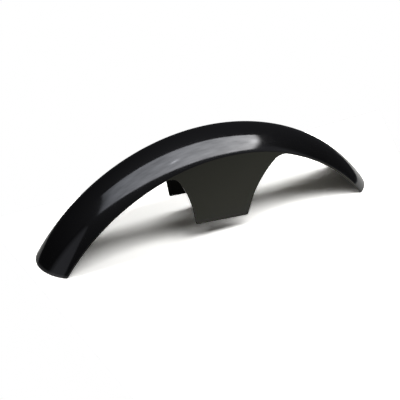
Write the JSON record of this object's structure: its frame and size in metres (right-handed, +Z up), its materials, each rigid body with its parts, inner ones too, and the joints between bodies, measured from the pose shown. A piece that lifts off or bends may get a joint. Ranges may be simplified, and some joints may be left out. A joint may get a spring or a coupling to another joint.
{
  "type": "motorcycle front mudguard",
  "caption": "Short gloss black front mudguard: an arched channel moulded in one piece, with plain flared side flaps hanging from its lips to fasten to the fork legs.",
  "frame": {"origin": "on the floor under the middle of the crown, at the centre of the bounding box's bottom, with the guard standing on its two trimmed ends", "axes": "+X along the guard towards the end that the flap leans to, +Y across it, +Z up"},
  "size_m": [0.6458, 0.105, 0.1829],
  "materials": {
    "gloss_black": "gloss black gel coat outside, plain black laminate inside"
  },
  "bodies": {
    "root": {"mudguard": "gloss_black"}
  },
  "joints": []
}
